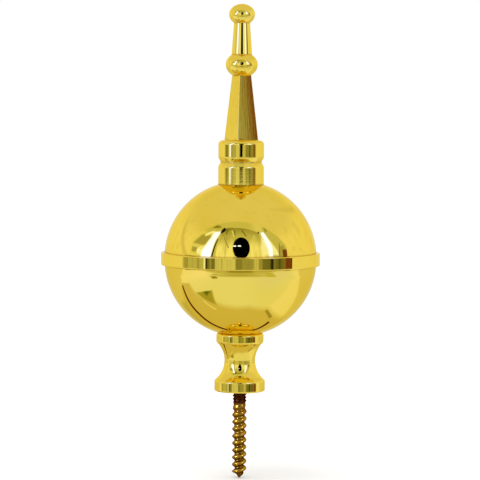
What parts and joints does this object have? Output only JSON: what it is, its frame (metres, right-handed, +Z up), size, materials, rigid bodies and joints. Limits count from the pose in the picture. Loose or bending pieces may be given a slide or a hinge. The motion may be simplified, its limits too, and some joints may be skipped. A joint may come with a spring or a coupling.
{
  "type": "clock finial",
  "caption": "Polished brass ball and spire finial with a belted ball, a square tapered spire, a waisted pedestal foot and a wood screw below.",
  "frame": {"origin": "centre of the pedestal's underside, the plane that seats on the clock case", "axes": "+Z up the axis of the finial, towards the spire's knob; the screw runs down along -Z"},
  "size_m": [0.0304, 0.0304, 0.0906],
  "materials": {
    "plated_steel": "yellow-plated, satin",
    "pedestal_brass": "mirror polished and lacquered",
    "ball_brass": "mirror polished and lacquered",
    "belt_brass": "mirror polished and lacquered",
    "spire_brass": "mirror polished and lacquered"
  },
  "bodies": {
    "root": {"wood_screw": "plated_steel", "pedestal": "pedestal_brass", "ball_lower_half": "ball_brass", "belt_ring": "belt_brass", "ball_upper_half": "ball_brass", "spire": "spire_brass"}
  },
  "joints": []
}
